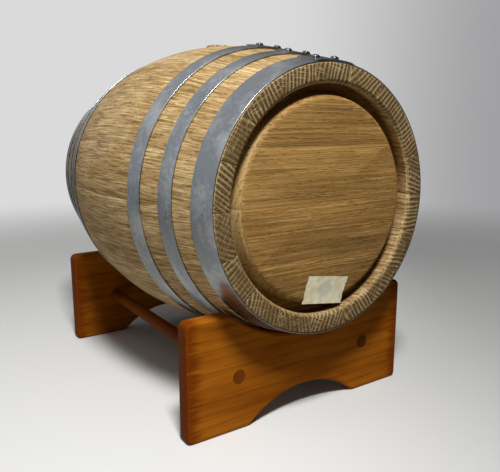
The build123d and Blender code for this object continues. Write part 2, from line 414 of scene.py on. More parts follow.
def add_node(
    tree: Tree, kind: str, inputs: dict | tuple = (), output: int | str = 0, **settings: object
) -> Socket | None:
    """Add a node, make its settings, and set or link its inputs.

    Args:
        tree: The material's node tree.
        kind: Type of the node, without its ShaderNode prefix.
        inputs: Values, or sockets to link, for the first inputs in order or for each that is named.
        output: Name or number of the output that is wanted.
        settings: Properties of the node.

    Returns:
        That output, or nothing for a node that has none.
    """
    node = tree.nodes.new("ShaderNode" + kind)
    for name, value in settings.items():
        setattr(node, name, value)
    for key, value in inputs.items() if isinstance(inputs, dict) else enumerate(inputs):
        if isinstance(value, Socket):
            tree.links.new(value, node.inputs[key])
        else:
            node.inputs[key].default_value = value
    return node.outputs[output] if node.outputs else None


def set_stops(ramp: Socket, stops: list[tuple[float, Spread]], ease: str = "LINEAR") -> None:
    """Place the colours of a colour ramp.

    Args:
        ramp: The colour ramp's output.
        stops: Position and linear colour of each stop, in order.
        ease: How the ramp goes from stop to stop.
    """
    band = ramp.node.color_ramp
    band.interpolation = ease
    while len(band.elements) < len(stops):
        band.elements.new(1.0)
    for element, (position, colour) in zip(band.elements, stops):
        element.position = position
        element.color = colour


@dataclass(frozen=True)
class Patches:
    """Noise whose patches have a real length along X, Y and Z.

    Detail is the number of finer octaves on top. Where there are limits, the noise between them is spread
    over the reach.
    """

    lengths: Size
    detail: float = 2.0
    limits: Span | None = None
    reach: Span = (0.0, 1.0)


@dataclass(frozen=True, kw_only=True)
class Finish:
    """A material that is built once, by the function that adds nodes to its own tree."""

    name: str
    add: Callable[..., Socket] | None = None
    relief_depth: float = 0.0
    relief_strength: float = 0.0

    def fill(self, owner: Material | bpy.types.World, output: str) -> Material | bpy.types.World:
        """Fill a material or a world with nodes.

        Args:
            owner: The new material or world.
            output: Type of its last node.

        Returns:
            The owner, with its surface linked.
        """
        owner.use_nodes = True
        owner.node_tree.nodes.clear()
        own = replace(self, add=partial(add_node, owner.node_tree))
        own.add(output, {"Surface": own.surface()})
        return owner

    def build(self) -> Material:
        """Make the material."""
        return self.fill(bpy.data.materials.new(self.name), "OutputMaterial")

    def surface(self) -> Socket:
        """Build the surface shader and return it."""
        raise NotImplementedError

    def draw(self, patches: Patches, place: Socket, output: str = "Fac") -> Socket:
        """Draw a pattern.

        Args:
            patches: The pattern.
            place: The coordinates that it follows.
            output: Fac for one number, or Color for three.

        Returns:
            The noise, about 0.5 on average where it has no limits.
        """
        scale = tuple(1 / length for length in patches.lengths)
        scaled = self.add("Mapping", {"Vector": place, "Scale": scale})
        noise = self.add("TexNoise", {"Vector": scaled, "Scale": 1.0, "Detail": patches.detail}, output)
        if patches.limits is None:
            return noise
        return self.add("MapRange", (noise, *patches.limits, *patches.reach), **SOFT)

    def coats(self, ground: Socket | str, *layers: tuple[Socket, Socket | str]) -> Socket:
        """Lay coats of colour over a ground, one after another.

        Args:
            ground: The first colour, as a hex value or the socket that gives it.
            layers: The share in which each coat shows, and its colour.

        Returns:
            The colour that shows.
        """
        share_input, under_input, over_input, colour_output = 0, 6, 7, 2
        colour = linear(ground) if isinstance(ground, str) else ground
        for share, paint in layers:
            over = linear(paint) if isinstance(paint, str) else paint
            inputs = {share_input: share, under_input: colour, over_input: over}
            colour = self.add("Mix", inputs, colour_output, data_type="RGBA")
        return colour

    def skin(self, height: Socket, look: dict, **settings: object) -> Socket:
        """Close a surface with its relief.

        Args:
            height: Height of the relief.
            look: The shader's other inputs.
            settings: Properties of the relief.

        Returns:
            The surface shader.
        """
        relief = {"Height": height, "Distance": self.relief_depth, "Strength": self.relief_strength}
        bump = self.add("Bump", relief, **settings)
        return self.add("BsdfPrincipled", {**look, "Normal": bump})


@dataclass(frozen=True, kw_only=True)
class Wood(Finish):
    """Wood with its growth rings across X and its grain along Y, from light to dark as its tone rises."""

    light: str
    middle: str
    dark: str
    stops: Size
    end_axis: Size
    end_limits: Span
    ring_width: float
    ring_wander: float
    wander: Patches

    def plain(self, tone: Socket) -> Socket:
        """Colour the plain wood.

        Args:
            tone: How dark it is.

        Returns:
            The colour.
        """
        ramp = self.add("ValToRGB", (tone,))
        set_stops(ramp, list(zip(self.stops, map(linear, (self.light, self.middle, self.dark)))))
        return ramp

    def end_grain(self) -> Socket:
        """Find where the wood is cut across its grain.

        Returns:
            0 on a long face and 1 on an end.
        """
        normal = self.add("TexCoord", (), "Normal")
        facing = self.add("VectorMath", (normal, self.end_axis), "Value", **DOT)
        facing = self.add("Math", (facing,), operation="ABSOLUTE")
        return self.add("MapRange", (facing, *self.end_limits), **SOFT)

    def year(self, grain: Socket) -> Socket:
        """Grow the rings.

        Args:
            grain: Place in the log.

        Returns:
            How far a place is through its ring, from 0 to 1.
        """
        across = self.add("SeparateXYZ", (grain,), "X")
        wander = self.add("Math", (self.draw(self.wander, grain), self.ring_wander), **TIMES)
        phase = self.add("Math", (across, 1 / self.ring_width, wander), **TIMES_PLUS)
        return self.add("Math", (phase,), operation="FRACT")


@dataclass(frozen=True, kw_only=True)
class Oak(Wood):
    """White oak, quarter sawn and sanded bare.

    Rings, vessels and rays lie in the log's own space. A long face shows wavy streaks, short dark vessels
    and a few dry cracks. An end has its own colour, with thin pale lines of late wood and rows of vessels
    between them. Real vessels are about 0.3 mm wide, and they are drawn three times as wide to show. Each
    share gives how much of a pattern shows on a long face and on an end.
    """

    end: str
    vessel: str
    pale: str
    stops: Size = (0.3, 0.6, 1.0)
    end_limits: Span = (0.35, 0.8)
    ring_width: float = 2.9 * MM
    ring_wander: float = 2.2
    wander: Patches = Patches(mm(14, 190, 30))
    late_line: tuple[Span, ...] = ((0.0, 0.3), (0.15, 0.0), (0.5, 0.05), (0.82, 1.0), (1.0, 0.3))
    early_limits: Span = (0.5, 0.2)
    ring_fade: Patches = Patches(mm(24, 90, 18), 2, (0.36, 0.6), (0.35, 1.0))
    tone: Patches = Patches(mm(14, 120, 14), 3)
    shade_weight: float = 0.5
    sway: Patches = Patches(mm(9, 24, 9))
    sway_reach: Size = mm(1.8, 0, 1.8)
    streaks: Patches = Patches(mm(0.9, 24, 0.9))
    streak_limits: Span = (0.47, 0.66)
    shine_limits: Span = (0.47, 0.3)
    pores: Patches = Patches(mm(0.8, 5, 0.8), 1)
    vessel_limits: Span = (0.56, 0.68)
    vessels_by_late_wood: Spread = (0.6, 0.0, 0.2, 1.0)
    early_by_pores: Spread = (0.4, 0.56, 0.5, 1.0)
    rays: Patches = Patches(mm(12, 6, 0.9), 1, (0.56, 0.66))
    cracks: Patches = Patches(mm(1.2, 36, 1.2), 2, (0.71, 0.76))
    end_share: Span = (0.0, 0.85)
    streak_share: Span = (0.8, 0.25)
    shine_share: Span = (0.75, 0.1)
    early_share: Span = (0.0, 0.65)
    late_share: Span = (0.15, 0.46)
    ray_share: Span = (0.12, 0.25)
    vessel_share: Span = (0.4, 0.8)
    crack_share: Span = (0.85, 0.0)
    relief_depth: float = 0.25 * MM
    relief_strength: float = 0.6
    dullness: Spread = (0.3, 0.7, 0.52, 0.7)
    ior: float = 1.3

    def rings(self, grain: Socket) -> tuple[Socket, Socket]:
        """Draw the two kinds of wood in a ring, strong in some places and faint in others.

        Args:
            grain: Place in the log.

        Returns:
            The pale line of late wood that ends a ring, and the open early wood that starts the next.
        """
        year = self.year(grain)
        late = self.add("ValToRGB", (year,))
        set_stops(late, [(place, (grey, grey, grey, 1.0)) for place, grey in self.late_line], "EASE")
        early = self.add("MapRange", (year, *self.early_limits), **SOFT)
        fade = self.draw(self.ring_fade, grain)
        return tuple(self.add("Math", (wood, fade), **TIMES) for wood in (late, early))

    def surface(self) -> Socket:
        """Lay the patterns over the plain wood.

        Returns:
            The surface shader.
        """
        add, draw = self.add, self.draw
        straight = add("Attribute", (), "Vector", attribute_name=GRAIN)
        shade = add("Attribute", (), "Fac", attribute_name=SHADE)
        bends = draw(self.sway, straight, "Color")
        grain = add("VectorMath", (bends, self.sway_reach, straight), **TIMES_PLUS)
        end = self.end_grain()
        late, early = self.rings(straight)
        tone = draw(self.tone, straight)
        streak, pores, cracks = (draw(pattern, grain) for pattern in (self.streaks, self.pores, self.cracks))
        vessels = add("MapRange", (pores, *self.vessel_limits), **SOFT)
        gaps = add("MapRange", (late, *self.vessels_by_late_wood), **SOFT)
        rows = add("MapRange", (pores, *self.early_by_pores), **SOFT)
        vessels, early = (add("Math", pair, **TIMES) for pair in ((vessels, gaps), (early, rows)))
        layers = (
            (end, self.end_share, self.end),
            (add("MapRange", (streak, *self.streak_limits), **SOFT), self.streak_share, self.dark),
            (add("MapRange", (streak, *self.shine_limits), **SOFT), self.shine_share, self.pale),
            (early, self.early_share, self.vessel),
            (late, self.late_share, self.pale),
            (draw(self.rays, straight), self.ray_share, self.pale),
            (vessels, self.vessel_share, self.vessel),
            (cracks, self.crack_share, self.vessel),
        )
        colour = self.plain(add("Math", (shade, self.shade_weight, tone), **TIMES_PLUS))
        for pattern, strength, code in layers:
            strength = add("MapRange", (end, 0, 1, *strength), **SOFT)
            colour = self.coats(colour, (add("Math", (pattern, strength), **TIMES), code))
        hollow = vessels
        for pattern in (streak, cracks):
            hollow = add("Math", (hollow, pattern), operation="ADD")
        dull = add("MapRange", (tone, *self.dullness), **SOFT)
        return self.skin(hollow, {"Base Color": colour, "Roughness": dull, "IOR": self.ior}, invert=True)


@dataclass(frozen=True, kw_only=True)
class StainedPine(Wood):
    """Pine under a brown wood stain and a thin coat of wax.

    It is warm, darker in its late wood, its fibres and its ends, and redder where the stain soaked in near
    the ends of a board. Its fibres are drawn as bundles 0.8 mm wide, to show. The wax is thin and rubbed in,
    so it hardly mirrors and the IOR is low.
    """

    red: str
    turn: Size
    half_length: float = 0.0
    stops: Size = (0.25, 0.55, 0.95)
    end_limits: Span = (0.5, 0.95)
    ring_width: float = 2.0 * MM
    ring_wander: float = 1.6
    wander: Patches = Patches(mm(22, 150, 22))
    late_limits: Span = (0.45, 0.98)
    ring_end: Span = (1.0, 0.98)
    late_share: float = 0.25
    stain: Patches = Patches(mm(20, 90, 20), 3)
    fibres: Patches = Patches(mm(0.8, 40, 0.8))
    fibre_share: Spread = (0.5, 0.75, 0.0, 0.35)
    soak: float = 15 * MM
    soak_rise: Span = (0.0, 0.5)
    soak_lines: Patches = Patches(mm(2, 24, 2), 4)
    soak_share: Spread = (0.5, 1.0, 0.0, 0.85)
    end_share: Span = (0.35, 1.0)
    relief_depth: float = 0.1 * MM
    relief_strength: float = 0.4
    gloss: Spread = (0.3, 0.7, 0.34, 0.5)
    ior: float = 1.08

    def soaked(self, grain: Socket) -> Socket:
        """Find where the stain soaked in along the grain from the ends.

        Args:
            grain: Place in the board, with Y from its middle.

        Returns:
            Share of the redder stain.
        """
        along = self.add("Math", (self.add("SeparateXYZ", (grain,), "Y"),), operation="ABSOLUTE")
        limits = (self.half_length - self.soak, self.half_length)
        near = self.add("MapRange", (along, *limits, *self.soak_rise), **SOFT)
        drawn = self.add("Math", (near, self.draw(self.soak_lines, grain)), operation="ADD")
        return self.add("MapRange", (drawn, *self.soak_share), **SOFT)

    def surface(self) -> Socket:
        """Lay grain lines and stain over the plain wood.

        Returns:
            The surface shader.
        """
        grain = self.add("Mapping", {"Vector": self.add("TexCoord", (), "Object"), "Rotation": self.turn})
        year = self.year(grain)
        late = self.add("MapRange", (year, *self.late_limits), **SOFT)
        late = self.add("Math", (late, self.add("MapRange", (year, *self.ring_end), **SOFT)), **TIMES)
        fibre = self.draw(self.fibres, grain)
        layers = [
            (self.add("Math", (late, self.late_share), **TIMES), self.dark),
            (self.add("MapRange", (fibre, *self.fibre_share), **SOFT), self.dark),
        ]
        if self.half_length:
            layers.append((self.soaked(grain), self.red))
        strength = self.add("MapRange", (late, 0, 1, *self.end_share), **SOFT)
        layers.append((self.add("Math", (self.end_grain(), strength), **TIMES), self.dark))
        colour = self.coats(self.plain(self.draw(self.stain, grain)), *layers)
        gloss = self.add("MapRange", (fibre, *self.gloss), **SOFT)
        return self.skin(fibre, {"Base Color": colour, "Roughness": gloss, "IOR": self.ior})


@dataclass(frozen=True, kw_only=True)
class Steel(Finish):
    """Bare steel, whose colour and gloss follow one pattern and whose relief follows another."""

    light: str
    dark: str
    light_limits: Span
    gloss: Spread

    def patterns(self, place: Socket) -> tuple[Socket, Socket]:
        """Draw the pattern of colour and gloss, and that of the relief."""
        raise NotImplementedError

    def surface(self) -> Socket:
        """Spread colour and gloss over the patterns.

        Returns:
            The surface shader.
        """
        patch, height = self.patterns(self.add("TexCoord", (), "Object"))
        share = self.add("MapRange", (patch, *self.light_limits), **SOFT)
        colour = self.coats(self.dark, (share, self.light))
        gloss = self.add("MapRange", (patch, *self.gloss), **SOFT)
        return self.skin(height, {"Base Color": colour, "Metallic": 1.0, "Roughness": gloss})


@dataclass(frozen=True, kw_only=True)
class GalvanisedStrip(Steel):
    """Mild steel strip, hot-dip galvanised and dulled: a cool grey with faint crystals and cloudy patches.

    The relief is the strip's slight waves.
    """

    light_limits: Span = (0.42, 0.82)
    gloss: Spread = (0.3, 1.0, 0.26, 0.38)
    clouds: Patches = Patches(mm(26, 26, 26), 4)
    crystal_size: float = 2.4 * MM
    crystal_share: float = 0.14
    waves: Patches = Patches(mm(30, 30, 30))
    relief_depth: float = 0.35 * MM
    relief_strength: float = 0.5

    def patterns(self, place: Socket) -> tuple[Socket, Socket]:
        """Draw crystals over clouds, and waves.

        Args:
            place: Place on the strip.

        Returns:
            The two patterns.
        """
        cells = {"Vector": place, "Scale": 1 / self.crystal_size, "Randomness": 1.0}
        crystals = self.add("TexVoronoi", cells, "Color", feature="F1")
        flake = self.add("SeparateXYZ", (crystals,), "X")
        clouds = self.draw(self.clouds, place)
        patch = self.add("Math", (flake, self.crystal_share, clouds), **TIMES_PLUS)
        return patch, self.draw(self.waves, place)


@dataclass(frozen=True, kw_only=True)
class RivetSteel(Steel):
    """Bright steel of a driven rivet: shiny, with fine hammer marks."""

    light_limits: Span = (0.35, 0.65)
    gloss: Spread = (0.3, 0.7, 0.16, 0.3)
    marks: Patches = Patches(mm(1.1, 1.1, 1.1))
    relief_depth: float = 0.08 * MM
    relief_strength: float = 0.4

    def patterns(self, place: Socket) -> tuple[Socket, Socket]:
        """Draw the hammer marks, for both."""
        marks = self.draw(self.marks, place)
        return marks, marks


@dataclass(frozen=True, kw_only=True)
class CrepePaper(Finish):
    """Creped paper tape, cream and dull, with painted shade: a cool grey round where the hole lies behind
    it.

    Its crepe lines are about half a millimetre apart, and they are drawn twice as wide to show.
    """

    light: str
    dark: str
    # Colour of the painted shade over the hole behind the paper
    hole: str
    centre: Size
    hole_radius: float
    hole_shade_edge: Span = (1.3, 0.6)
    hole_shade_share: Span = (0.0, 0.45)
    crepe: Patches = Patches(mm(0.9, 3, 4), 3)
    crease_share: Spread = (0.5, 0.8, 0.0, 0.5)
    stains: Patches = Patches(mm(5, 5, 5), 3, (0.3, 0.75))
    relief_depth: float = 0.12 * MM
    relief_strength: float = 0.7
    dullness: float = 0.75

    def surface(self) -> Socket:
        """Lay stains, creases and the hole's shadow over the paper.

        Returns:
            The surface shader.
        """
        place = self.add("TexCoord", (), "Object")
        crepe = self.draw(self.crepe, place)
        crease = self.add("MapRange", (crepe, *self.crease_share), **SOFT)
        # Painted shade of the hole behind the paper, a cool grey round
        offset = self.add("VectorMath", (place, self.centre), "Value", operation="DISTANCE")
        edge = [share * self.hole_radius for share in self.hole_shade_edge]
        inside = self.add("MapRange", (offset, *edge, *self.hole_shade_share), **SOFT)
        stains = self.draw(self.stains, place)
        colour = self.coats(self.light, (stains, self.dark), (crease, self.dark), (inside, self.hole))
        return self.skin(crepe, {"Base Color": colour, "Roughness": self.dullness})


@dataclass(frozen=True, kw_only=True)
class Beech(Finish):
    """Beech dowel rod, bare: pale and even, with short fine flecks along the rod."""

    light: str
    dark: str
    flecks: Patches = Patches(mm(0.5, 0.5, 4), 2, (0.45, 0.7))
    dullness: float = 0.6

    def surface(self) -> Socket:
        """Lay the flecks over the plain wood.

        Returns:
            The surface shader.
        """
        place = self.add("TexCoord", (), "Object")
        colour = self.coats(self.light, (self.draw(self.flecks, place), self.dark))
        return self.add("BsdfPrincipled", {"Base Color": colour, "Roughness": self.dullness})


@dataclass(frozen=True, kw_only=True)
class Surroundings(Finish):
    """What stands round the object: the camera and metal see it paler than it lights the object."""

    to_side: Size

    def rays(self) -> tuple[Socket, Socket]:
        """Tell the rays that show the surroundings from those that light the object.

        Returns:
            Which rays come straight from the camera, and which by way of metal or glass.
        """
        camera, metal, glass = (
            self.add("LightPath", (), f"Is {kind} Ray") for kind in ("Camera", "Glossy", "Transmission")
        )
        return camera, self.add("Math", (metal, glass), operation="MAXIMUM")


@dataclass(frozen=True, kw_only=True)
class MattFloor(Surroundings):
    """A matt floor that keeps the shadow, fades into the backdrop and has painted shade to one side.

    It is pale for the camera and partly so in mirrors, and sends less light back onto the object. Both
    colours darken to the camera's right: painted shade where less lamp light falls.
    """

    # Pale colours for the camera and dim ones that light the object, each going from near to the right,
    # where painted shade darkens them
    pale: tuple[str, str] = ("#E4E4E2", "#B4B4B3")
    dim: tuple[str, str] = ("#BCB8AE", "#6C6A66")
    side_shade_limits: Span = (0.0, 0.3)
    fade_limits: Span = (0.4, 1.1)
    gleam: float = 0.4

    def surface(self) -> Socket:
        """Shade the floor.

        Returns:
            The surface shader.
        """
        place = self.add("TexCoord", (), "Object")
        distance = self.add("VectorMath", (place,), "Value", operation="LENGTH")
        fade = self.add("MapRange", (distance, *self.fade_limits), **SOFT)
        camera, mirrors = self.rays()
        seen = self.add("Math", (mirrors, self.gleam, camera), **TIMES_PLUS)
        # Painted shade: the floor darkens towards the camera's right
        aside = self.add("VectorMath", (place, self.to_side), "Value", **DOT)
        shade = self.add("MapRange", (aside, *self.side_shade_limits), **SOFT)
        dim, pale = (self.coats(near, (shade, far)) for near, far in (self.dim, self.pale))
        matt = self.add("BsdfDiffuse", {"Color": self.coats(dim, (seen, pale))})
        return self.add("MixShader", (fade, matt, self.add("BsdfTransparent")))


@dataclass(frozen=True, kw_only=True)
class Room(Surroundings):
    """The room's light: a weak fill from one side, and a backdrop painted darker to the camera's right as
    shade.
    """

    # The backdrop's colours, with painted shade that darkens it to the camera's right
    wall: tuple[str, str] = ("#DADADA", "#A0A0A2")
    wall_shade_limits: Span = (0.02, 0.42)
    room: tuple[str, str] = ("#303032", "#F2F2F2")
    room_side: Size = (-0.5, 0.3, 0.81)
    room_limits: Span = (0.1, 0.85)
    fill_strength: float = 0.25

    def surface(self) -> Socket:
        """Light the room, and show the backdrop to the camera alone.

        Returns:
            The light from all sides.
        """
        direction = self.add("TexCoord", (), "Generated")
        colours = []
        # The wall's gradient is painted shade; the room's gradient is the fill light itself
        for side, limits, (near, far) in (
            (self.to_side, self.wall_shade_limits, self.wall),
            (self.room_side, self.room_limits, self.room),
        ):
            facing = self.add("VectorMath", (direction, side), "Value", **DOT)
            colours.append(self.coats(near, (self.add("MapRange", (facing, *limits), **SOFT), far)))
        wall, room = colours
        fill, shine, backdrop = (
            self.add("Background", {"Color": colour, "Strength": strength})
            for colour, strength in ((room, self.fill_strength), (room, 1.0), (wall, 1.0))
        )
        camera, mirrors = self.rays()
        light = self.add("MixShader", (mirrors, fill, shine))
        return self.add("MixShader", (camera, light, backdrop))


# Sub-assemblies


@dataclass(frozen=True)
class Shell:
    """Outside of the ring of staves: straight near both ends and bent to one arc between."""

    half_length: float
    axis_height: float
    chime_radius: float = 84 * MM
    end_length: float = 67.5 * MM
    end_slope: float = math.radians(12)
    thickness: float = 12 * MM

    @property
    def bend_radius(self) -> float:
        """Radius of the arc along the middle of a stave's outside."""
        return (self.half_length - self.end_length) / math.sin(self.end_slope)

    @property
    def bilge_radius(self) -> float:
        """Radius of the barrel at mid length."""
        rise = self.bend_radius * (1 - math.cos(self.end_slope))
        return self.chime_radius + self.end_length * math.tan(self.end_slope) + rise

    def radius(self, y: float, depth: float = 0.0) -> float:
        """Find the shell's radius.

        Args:
            y: Distance from mid length, to either side.
            depth: Depth under the outside.

        Returns:
            The radius of that layer there.
        """
        arc = self.bend_radius - depth
        knee = arc * math.sin(self.end_slope)
        centre = self.bilge_radius - self.bend_radius
        if abs(y) < knee:
            return centre + math.sqrt(arc**2 - y**2)
        return centre + arc * math.cos(self.end_slope) - (abs(y) - knee) * math.tan(self.end_slope)

    def slope(self, y: float) -> float:
        """Angle of the outside to the barrel's axis at a distance from mid length."""
        return min(self.end_slope, math.asin(y / self.bend_radius))

    def raised(self, turn: float = 0.0) -> Matrix:
        """Place of a piece that is modelled about the Y axis, turned about it and raised."""
        return Matrix.Translation((0, 0, self.axis_height)) @ turned(turn, "Y")


@dataclass(frozen=True)
class HeadSeat:
    """How a head sits in the groove of the staves, measured from the end of the barrel."""

    recess: float = 3 * MM
    thickness: float = 14 * MM
    rim_thickness: float = 5 * MM
    margin: float = 9.6 * MM
    flare: float = 3 * MM
    groove_depth: float = 3 * MM
    play: float = 0.1 * MM

    @property
    def groove_front(self) -> float:
        """Where the groove starts."""
        return self.recess + self.thickness - self.rim_thickness

    @property
    def groove_back(self) -> float:
        """Where the groove ends."""
        return self.recess + self.thickness

    def groove_radius(self, shell: Shell) -> float:
        """Radius of the groove's floor."""
        return shell.radius(shell.half_length - self.groove_back, shell.thickness) + self.groove_depth


@dataclass
class StaveRing:
    """The ring of staves, each sawn from its own place in a log."""

    finishes: Finishes
    shell: Shell
    seat: HeadSeat
    bung_radius: float
    bung_taper: float
    count: int = 18
    lip: float = 2.5 * MM
    chime_round: float = 0.6 * MM
    joint_round: float = 0.17 * MM
    bend_steps: int = 18
    spin_steps: int = 7
    round_steps: int = 3
    hole_steps: int = 72
    hole_overrun: float = 5 * MM
    sink: Span = (0.02 * MM, 0.08 * MM)
    ring_turn: float = math.radians(38)
    shades: Span = (0, 0.36)
    log_spread: float = 4.0
    seed: int = 7

    @property
    def angle(self) -> float:
        """Angle that one stave takes up."""
        return math.tau / self.count

    def layer(self, depth: float) -> list[Span]:
        """Find the points of one layer of the shell between its two straight ends.

        Args:
            depth: Depth of the layer under the outside.

        Returns:
            Places (y, radius) from front to rear.
        """
        knee = (self.shell.bend_radius - depth) * math.sin(self.shell.end_slope)
        steps = range(self.bend_steps + 1)
        places = [knee * (2 * step / self.bend_steps - 1) for step in steps]
        return [(y, self.shell.radius(y, depth)) for y in places]

    def end_points(self, end: End) -> list[Span]:
        """Find the points round one end of a stave.

        Args:
            end: The end.

        Returns:
            Places (y, radius) from its outside to its inside behind the groove.
        """
        shell, seat = self.shell, self.seat
        chime = shell.half_length
        groove_front = chime - seat.groove_front + seat.play
        groove_back = chime - seat.groove_back - seat.play
        points = [
            (chime, shell.chime_radius),
            (chime, shell.radius(chime, shell.thickness) + self.lip),
            (chime - self.lip, shell.radius(chime - self.lip, shell.thickness)),
            (groove_front, shell.radius(groove_front, shell.thickness)),
            (groove_front, seat.groove_radius(shell)),
            (groove_back, seat.groove_radius(shell)),
            (groove_back, shell.radius(groove_back, shell.thickness)),
        ]
        return [(end.value * y, radius) for y, radius in points]

    def blank(self) -> Piece:
        """Model one stave about the Y axis, with its middle at the top.

        Returns:
            The stave, in object mode.
        """
        rear, front = self.end_points(End.REAR), self.end_points(End.FRONT)
        inside = list(reversed(self.layer(self.shell.thickness)))
        stave = trace("stave blank", self.layer(0) + rear + inside + list(reversed(front)))
        bpy.ops.mesh.edge_face_add()
        spin(self.angle, self.spin_steps)
        close_up()
        settle(stave, turned(-self.angle / 2, "Y"))
        chime = self.shell.half_length - 0.5 * self.lip
        select_edges(stave, lambda a, b: min(abs(a.y), abs(b.y)) > chime and abs(a.x - b.x) > NEAR)
        bpy.ops.mesh.bevel(offset=self.chime_round, segments=self.round_steps)
        close_up()
        ease_edges(stave, self.joint_round)
        return stave

    def unbent(self, point: Vector) -> Vector:
        """Find where a point of the blank lay on a straight stave, whose outside lies at height 0."""
        return Vector((point.x, point.y, point.z - self.shell.radius(point.y)))

    def bung_cutter(self) -> Piece:
        """Make the tapered round that cuts the bung hole.

        Returns:
            The cutter, at its place.
        """
        top = self.shell.bilge_radius + self.hole_overrun
        low = self.shell.bilge_radius - self.shell.thickness - self.hole_overrun
        taper = math.tan(self.bung_taper)
        low_radius, top_radius = (
            self.bung_radius + (height - self.shell.bilge_radius) * taper for height in (low, top)
        )
        return start(
            "bung cutter", bpy.ops.mesh.primitive_cone_add, vertices=self.hole_steps, radius1=low_radius,
            radius2=top_radius, depth=top - low, location=(0, 0, (top + low) / 2),
        )

    def make(self) -> None:
        """Saw and place all staves."""
        chance = random.Random(self.seed)
        blank = self.blank()
        for index in range(self.count):
            node = f"stave_{index + 1:02d}" if index else "bung_stave"
            stave = copy_of(blank, "oak_" + node)
            if not index:
                cut(stave, self.bung_cutter())
            turn = turned(chance.uniform(-self.ring_turn, self.ring_turn), "Y")
            log = place_in_log(chance, self.log_spread) @ turn
            lay_grain(stave, log, chance.uniform(*self.shades), self.unbent)
            sink = Matrix.Translation((0, 0, -chance.uniform(*self.sink)))
            settle(stave, self.shell.raised(index * self.angle) @ sink)
            smooth(stave)
            hand_over(stave, node, Body.BARREL, Slot.STAVE, self.finishes)
        bpy.data.objects.remove(blank)


@dataclass
class Head:
    """One head: boards pinned edge to edge, with a raised face and steep sides down to a thin rim."""

    finishes: Finishes
    shell: Shell
    seat: HeadSeat
    end: End
    joints: list[float]
    dowel_radius: float
    tap_radius: float = 0.0
    tap_drop: float = 0.0
    dowel_x: float = 30 * MM
    dowel_play: float = 0.05 * MM
    dowel_reach: float = 21 * MM
    face_round: float = 2.4 * MM
    round_steps: int = 5
    joint_round: float = 0.14 * MM
    joint_sharp: float = math.radians(50)
    steps: int = 120
    hole_steps: int = 48
    ring_turns: Spread = (52, 64, 70, 40)
    # How dark each board is, from the top board down; the lowest board is much the darkest
    shades: Spread = (0.1, 0.05, 0.2, 0.62)
    log_spread: float = 4.0
    seed: int = 11

    @property
    def rim_radius(self) -> float:
        """Radius of the thin rim in the groove."""
        return self.seat.groove_radius(self.shell) - self.seat.play

    @property
    def face_radius(self) -> float:
        """Radius of the raised face."""
        mouth = self.shell.radius(self.shell.half_length - self.seat.groove_front, self.shell.thickness)
        return mouth - self.seat.play - self.seat.margin

    def disc(self) -> Piece:
        """Turn the whole head, with its face's edge rounded.

        Returns:
            The disc, in object mode.
        """
        seat, side = self.seat, self.end.value
        depths = [
            (seat.recess, 0),
            (seat.recess, self.face_radius),
            (seat.groove_front, self.face_radius + seat.flare),
            (seat.groove_front, self.rim_radius),
            (seat.groove_back, self.rim_radius),
            (seat.groove_back, 0),
        ]
        points = [(side * (self.shell.half_length - depth), radius) for depth, radius in depths]
        disc = lathe(f"{self.end.word} head blank", points, self.steps)
        rim = self.face_radius - NEAR
        face = side * (self.shell.half_length - seat.recess)
        select_edges(disc, lambda a, b: all(
            math.hypot(p.x, p.z) > rim and abs(p.y - face) < NEAR for p in (a, b)))
        bpy.ops.mesh.bevel(offset=self.face_round, segments=self.round_steps)
        close_up()
        return disc

    def saw(self, disc: Piece, name: str, top: float, bottom: float) -> Piece:
        """Saw one board out of the disc.

        Args:
            disc: The whole head.
            name: Name of the board.
            top: Height of its upper joint over the barrel's axis.
            bottom: Height of its lower joint.

        Returns:
            The board, in object mode.
        """
        board = copy_of(disc, name)
        bpy.ops.object.mode_set(mode="EDIT")
        for level, cleared in ((top, "clear_outer"), (bottom, "clear_inner")):
            bpy.ops.mesh.select_all(action="SELECT")
            bpy.ops.mesh.bisect(plane_co=(0, 0, level), plane_no=(0, 0, 1), use_fill=True, **{cleared: True})
        close_up()
        return board

    def bore(self, board: Piece, top: float, bottom: float) -> None:
        """Bore a board for its dowels and for the tap.

        Args:
            board: The board, in object mode.
            top: Height of its upper joint over the barrel's axis.
            bottom: Height of its lower joint.
        """
        middle = self.end.value * (self.shell.half_length - self.seat.recess - self.seat.thickness / 2)
        radius = self.dowel_radius + self.dowel_play
        holes = [
            ((x, middle, level), (0, 0, 0), radius, self.dowel_reach)
            for level in (top, bottom) if abs(level) < self.rim_radius
            for x in (-self.dowel_x, self.dowel_x)
        ]
        if self.tap_radius and bottom < -self.tap_drop < top:
            through = 2 * self.seat.thickness
            holes.append(((0, middle, -self.tap_drop), (QUARTER_TURN, 0, 0), self.tap_radius, through))
        for place, turn, radius, length in holes:
            cut(board, start(
                "drill", bpy.ops.mesh.primitive_cylinder_add, vertices=self.hole_steps, radius=radius,
                depth=length, location=place, rotation=turn,
            ))

    def make(self) -> None:
        """Saw the disc into boards and place them."""
        chance = random.Random(self.seed + self.end.value)
        along_x = Matrix(((0, 0, 1, 0), (1, 0, 0, 0), (0, 1, 0, 0), (0, 0, 0, 1)))
        disc = self.disc()
        levels = [2 * self.rim_radius, *self.joints, -2 * self.rim_radius]
        for index, (top, bottom) in enumerate(zip(levels, levels[1:])):
            node = f"{self.end.word}_head_board_{index + 1}"
            board = self.saw(disc, "oak_" + node, top, bottom)
            ease_edges(board, self.joint_round, self.joint_sharp)
            self.bore(board, top, bottom)
            turn = turned(math.radians(self.ring_turns[index]), "Y")
            lay_grain(board, place_in_log(chance, self.log_spread) @ turn @ along_x, self.shades[index])
            settle(board, self.shell.raised())
            smooth(board)
            hand_over(board, node, Body.BARREL, Slot.HEAD, self.finishes)
        bpy.data.objects.remove(disc)


